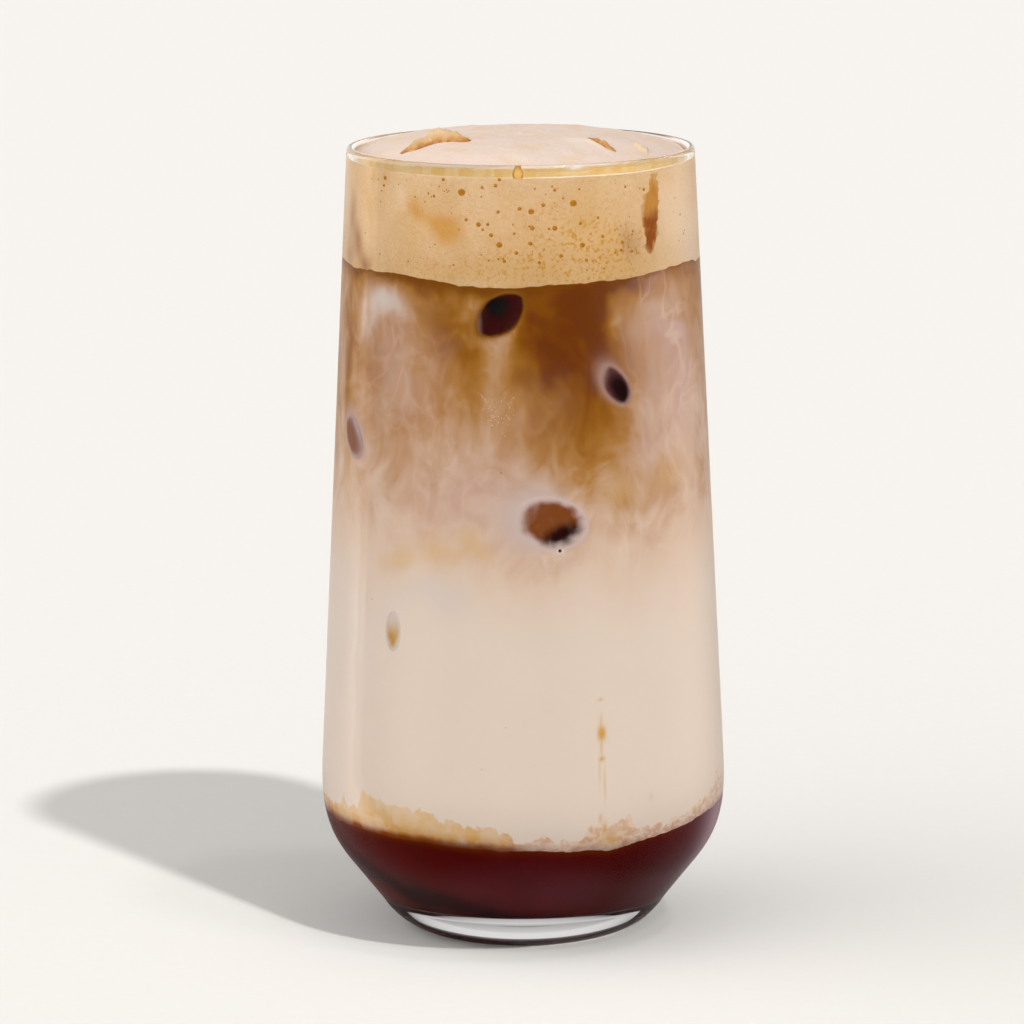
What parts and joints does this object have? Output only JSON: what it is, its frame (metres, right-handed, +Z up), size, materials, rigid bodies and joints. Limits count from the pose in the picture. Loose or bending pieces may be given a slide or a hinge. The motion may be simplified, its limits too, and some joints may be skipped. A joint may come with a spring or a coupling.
{
  "type": "iced latte in a tall tumbler",
  "caption": "Layered iced latte in a tall clear stemless tumbler: dark syrup, milk, marbled coffee and cold foam over ice.",
  "frame": {"origin": "middle of the glass's foot ring, on the surface it stands on", "axes": "+Z up along the glass's axis; -Y is the front, the side the picture shows; +X is to its right"},
  "size_m": [0.077, 0.077, 0.1534],
  "materials": {
    "glass": "clear pressed glass, fire polished",
    "syrup": "dark red-brown syrup, still and glossy against the wall",
    "milk": "milk with a little coffee, smooth",
    "coffee": "coffee and milk, marbled in wisps",
    "foam": "cold milk foam, fine bubbles, satin",
    "ice": "ice cubes with rounded melted edges, wet"
  },
  "bodies": {
    "root": {"glass": "glass", "syrup": "syrup", "milk": "milk", "coffee": "coffee", "foam": "foam", "ice_top_left": "ice", "ice_top_right": "ice", "ice_upper_middle": "ice", "ice_upper_right": "ice", "ice_left": "ice", "ice_middle": "ice", "ice_low_left": "ice"}
  },
  "joints": []
}
